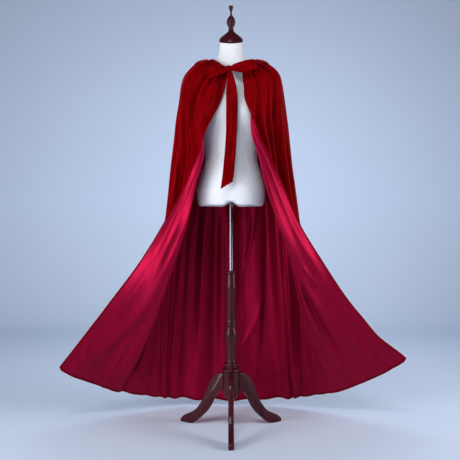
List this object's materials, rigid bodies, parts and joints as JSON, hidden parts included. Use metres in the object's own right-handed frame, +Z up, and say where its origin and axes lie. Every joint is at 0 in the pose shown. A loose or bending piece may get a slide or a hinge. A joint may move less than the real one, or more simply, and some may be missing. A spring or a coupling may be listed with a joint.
{
  "type": "hooded cloak on a limbless dress form",
  "caption": "Full-length hooded velvet cloak with a satin lining and a ribbon bow, draped open on a white limbless dress form with a turned wooden tripod stand.",
  "frame": {"origin": "on the floor, at the middle of the whole thing's box", "axes": "+Z up; -Y towards the viewer, the open front of the cloak; +X to the viewer's right"},
  "size_m": [1.5908, 0.6652, 1.906],
  "materials": {
    "velvet": "dark red cotton velvet, short dense pile",
    "satin": "crimson satin lining, glossy face towards the wearer",
    "ribbon": "dark red velvet ribbon",
    "jersey": "white stretch jersey cover, smooth and matt",
    "mahogany": "turned wood, dark mahogany stain, gloss varnish",
    "chrome": "chromed steel tube"
  },
  "bodies": {
    "stand": {"stand_post": "mahogany", "stand_leg_1": "mahogany", "stand_leg_2": "mahogany", "stand_leg_3": "mahogany"},
    "form": {"bow_knot": "ribbon", "bow_loop_left": "ribbon", "bow_loop_right": "ribbon", "bow_tail_behind": "ribbon", "bow_tail_front": "ribbon", "cloak_back": "velvet", "cloak_front_left": "velvet", "cloak_front_right": "velvet", "form_torso": "jersey", "hood_left": "velvet", "hood_lining": "satin", "hood_right": "velvet", "lining_back": "satin", "lining_front_left": "satin", "lining_front_right": "satin", "neck_band": "ribbon", "neck_cap": "mahogany"},
    "tube": {"form_pole": "chrome"}
  },
  "joints": [
    {"name": "height", "type": "slide", "parent": "stand", "child": "tube", "axis": [0, 0, 1], "range_m": [0, 0.15]},
    {"name": "turn", "type": "hinge", "parent": "tube", "child": "form", "pos_m": [-0.0099, -0.0626, 1.0247], "axis": [0, 0, 1], "continuous": true}
  ]
}
